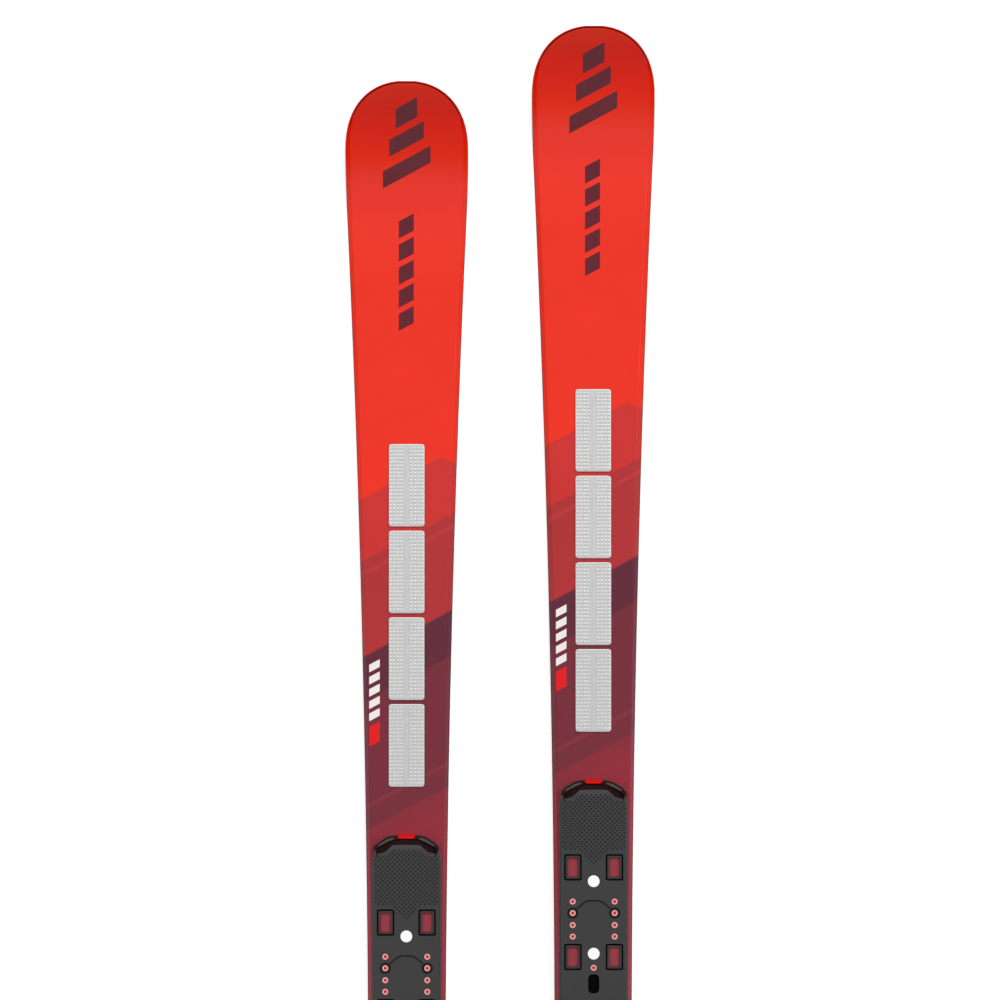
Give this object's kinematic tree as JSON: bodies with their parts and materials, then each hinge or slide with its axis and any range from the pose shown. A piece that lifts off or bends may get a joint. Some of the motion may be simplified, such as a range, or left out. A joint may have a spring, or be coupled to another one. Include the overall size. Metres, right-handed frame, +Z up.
{
  "type": "alpine skis with bindings",
  "caption": "Pair of cambered alpine race skis with raised plates, damper inlays, release bindings and brakes, lying side by side on their bases.",
  "frame": {"origin": "middle of the pair's footprint, on the snow under the contact lines of the bases", "axes": "+X to the right seen from the tails, +Y along the skis towards the tips, +Z up"},
  "size_m": [0.2594, 1.921, 0.1208],
  "materials": {
    "base": "sintered running base, structured and waxed",
    "edge_steel": "ground edge steel",
    "core": "laminated wood, hidden",
    "sidewall": "planed red phenol and ABS",
    "top_sheet": "glossy print, red running into maroon and dark purple bands",
    "damper": "embossed satin plate",
    "plate": "dark grey moulded plastic with a dot grip",
    "red_clip": "bright red moulding",
    "housing": "red moulded and painted housing",
    "black_plastic": "black glass-filled plastic",
    "cast_metal": "die-cast and tumbled",
    "spring_steel": "drawn wire",
    "pad": "low-friction white pad",
    "brake_steel": "bent wire with moulded pedal and feet"
  },
  "bodies": {
    "left_ski": {"left_running_base": "base", "left_steel_edge": "edge_steel", "left_wood_core": "core", "left_sidewall_left": "sidewall", "left_sidewall_right": "sidewall", "left_top_laminate": "top_sheet", "left_damper_1": "damper", "left_damper_2": "damper", "left_damper_3": "damper", "left_damper_4": "damper", "left_tail_guard": "black_plastic", "left_front_plate": "plate", "left_rear_plate": "plate", "left_nose_clip": "red_clip", "left_toe_base": "cast_metal", "left_toe_housing": "housing", "left_toe_spring": "spring_steel", "left_heel_track": "cast_metal", "left_brake_base": "black_plastic"},
    "left_toe_wing_left": {"left_toe_wing_left": "black_plastic"},
    "left_toe_wing_right": {"left_toe_wing_right": "black_plastic"},
    "left_toe_release_screw": {"left_toe_release_screw": "cast_metal"},
    "left_friction_pad": {"left_friction_pad": "pad"},
    "left_heel_carriage": {"left_heel_carriage": "black_plastic"},
    "left_length_screw": {"left_length_screw": "spring_steel"},
    "left_heel_cup": {"left_heel_cup": "housing", "left_heel_spring": "spring_steel"},
    "left_heel_lever": {"left_heel_lever": "black_plastic"},
    "left_heel_release_screw": {"left_heel_release_screw": "cast_metal"},
    "left_brake_bow": {"left_brake_bow": "brake_steel"},
    "right_ski": {"right_running_base": "base", "right_steel_edge": "edge_steel", "right_wood_core": "core", "right_sidewall_left": "sidewall", "right_sidewall_right": "sidewall", "right_top_laminate": "top_sheet", "right_damper_1": "damper", "right_damper_2": "damper", "right_damper_3": "damper", "right_damper_4": "damper", "right_tail_guard": "black_plastic", "right_front_plate": "plate", "right_rear_plate": "plate", "right_nose_clip": "red_clip", "right_toe_base": "cast_metal", "right_toe_housing": "housing", "right_toe_spring": "spring_steel", "right_heel_track": "cast_metal", "right_brake_base": "black_plastic"},
    "right_toe_wing_left": {"right_toe_wing_left": "black_plastic"},
    "right_toe_wing_right": {"right_toe_wing_right": "black_plastic"},
    "right_toe_release_screw": {"right_toe_release_screw": "cast_metal"},
    "right_friction_pad": {"right_friction_pad": "pad"},
    "right_heel_carriage": {"right_heel_carriage": "black_plastic"},
    "right_length_screw": {"right_length_screw": "spring_steel"},
    "right_heel_cup": {"right_heel_cup": "housing", "right_heel_spring": "spring_steel"},
    "right_heel_lever": {"right_heel_lever": "black_plastic"},
    "right_heel_release_screw": {"right_heel_release_screw": "cast_metal"},
    "right_brake_bow": {"right_brake_bow": "brake_steel"}
  },
  "joints": [
    {"name": "right_ski_slide", "type": "slide", "parent": "left_ski", "child": "right_ski", "axis": [0, 1, 0], "range_m": [-0.25, 0.25]},
    {"name": "left_toe_wing_left_pivot", "type": "hinge", "parent": "left_ski", "child": "left_toe_wing_left", "pos_m": [-0.0971, 0.0305, 0.06], "axis": [0, 0, -1], "range_deg": [0, 30], "stiffness_Nm_per_rad": 12},
    {"name": "left_toe_wing_right_pivot", "type": "hinge", "parent": "left_ski", "child": "left_toe_wing_right", "pos_m": [-0.0591, 0.0305, 0.06], "axis": [0, 0, 1], "range_deg": [0, 30], "stiffness_Nm_per_rad": 12},
    {"name": "left_toe_release_screw_turn", "type": "hinge", "parent": "left_ski", "child": "left_toe_release_screw", "pos_m": [-0.0781, 0.0765, 0.0565], "axis": [0, 1, 0], "range_deg": [-1080, 1080]},
    {"name": "left_friction_pad_slide", "type": "slide", "parent": "left_ski", "child": "left_friction_pad", "axis": [1, 0, 0], "range_m": [-0.008, 0.008], "stiffness_N_per_m": 800},
    {"name": "left_heel_carriage_slide", "type": "slide", "parent": "left_ski", "child": "left_heel_carriage", "axis": [0, 1, 0], "range_m": [-0.015, 0.015]},
    {"name": "left_length_screw_turn", "type": "hinge", "parent": "left_heel_carriage", "child": "left_length_screw", "pos_m": [-0.0781, -0.3615, 0.0407], "axis": [0, 1, 0], "range_deg": [-1801, 1801]},
    {"name": "left_heel_cup_pivot", "type": "hinge", "parent": "left_heel_carriage", "child": "left_heel_cup", "pos_m": [-0.0781, -0.3515, 0.061], "axis": [1, 0, 0], "range_deg": [0, 35]},
    {"name": "left_heel_lever_pivot", "type": "hinge", "parent": "left_heel_cup", "child": "left_heel_lever", "pos_m": [-0.0781, -0.3335, 0.105], "axis": [1, 0, 0], "range_deg": [0, 14.1]},
    {"name": "left_heel_release_screw_turn", "type": "hinge", "parent": "left_heel_cup", "child": "left_heel_release_screw", "pos_m": [-0.0781, -0.3725, 0.078], "axis": [0, 1, 0], "range_deg": [-1080, 1080]},
    {"name": "left_brake_pivot", "type": "hinge", "parent": "left_ski", "child": "left_brake_bow", "pos_m": [-0.0781, -0.2355, 0.042], "axis": [1, 0, 0], "range_deg": [0, 58]},
    {"name": "right_toe_wing_left_pivot", "type": "hinge", "parent": "right_ski", "child": "right_toe_wing_left", "pos_m": [0.0591, 0.0765, 0.06], "axis": [0, 0, -1], "range_deg": [0, 30], "stiffness_Nm_per_rad": 12},
    {"name": "right_toe_wing_right_pivot", "type": "hinge", "parent": "right_ski", "child": "right_toe_wing_right", "pos_m": [0.0971, 0.0765, 0.06], "axis": [0, 0, 1], "range_deg": [0, 30], "stiffness_Nm_per_rad": 12},
    {"name": "right_toe_release_screw_turn", "type": "hinge", "parent": "right_ski", "child": "right_toe_release_screw", "pos_m": [0.0781, 0.1225, 0.0565], "axis": [0, 1, 0], "range_deg": [-1080, 1080]},
    {"name": "right_friction_pad_slide", "type": "slide", "parent": "right_ski", "child": "right_friction_pad", "axis": [1, 0, 0], "range_m": [-0.008, 0.008], "stiffness_N_per_m": 800},
    {"name": "right_heel_carriage_slide", "type": "slide", "parent": "right_ski", "child": "right_heel_carriage", "axis": [0, 1, 0], "range_m": [-0.015, 0.015]},
    {"name": "right_length_screw_turn", "type": "hinge", "parent": "right_heel_carriage", "child": "right_length_screw", "pos_m": [0.0781, -0.3155, 0.0407], "axis": [0, 1, 0], "range_deg": [-1801, 1801]},
    {"name": "right_heel_cup_pivot", "type": "hinge", "parent": "right_heel_carriage", "child": "right_heel_cup", "pos_m": [0.0781, -0.3055, 0.061], "axis": [1, 0, 0], "range_deg": [0, 35]},
    {"name": "right_heel_lever_pivot", "type": "hinge", "parent": "right_heel_cup", "child": "right_heel_lever", "pos_m": [0.0781, -0.2875, 0.105], "axis": [1, 0, 0], "range_deg": [0, 14.1]},
    {"name": "right_heel_release_screw_turn", "type": "hinge", "parent": "right_heel_cup", "child": "right_heel_release_screw", "pos_m": [0.0781, -0.3265, 0.078], "axis": [0, 1, 0], "range_deg": [-1080, 1080]},
    {"name": "right_brake_pivot", "type": "hinge", "parent": "right_ski", "child": "right_brake_bow", "pos_m": [0.0781, -0.1895, 0.042], "axis": [1, 0, 0], "range_deg": [0, 58]}
  ],
  "couplings": [
    {"joint": "left_length_screw_turn", "follows": "left_heel_carriage_slide", "rad_per_m": 2094.4},
    {"joint": "left_heel_lever_pivot", "follows": "left_heel_cup_pivot", "ratio": 0.4},
    {"joint": "right_length_screw_turn", "follows": "right_heel_carriage_slide", "rad_per_m": 2094.4},
    {"joint": "right_heel_lever_pivot", "follows": "right_heel_cup_pivot", "ratio": 0.4}
  ]
}
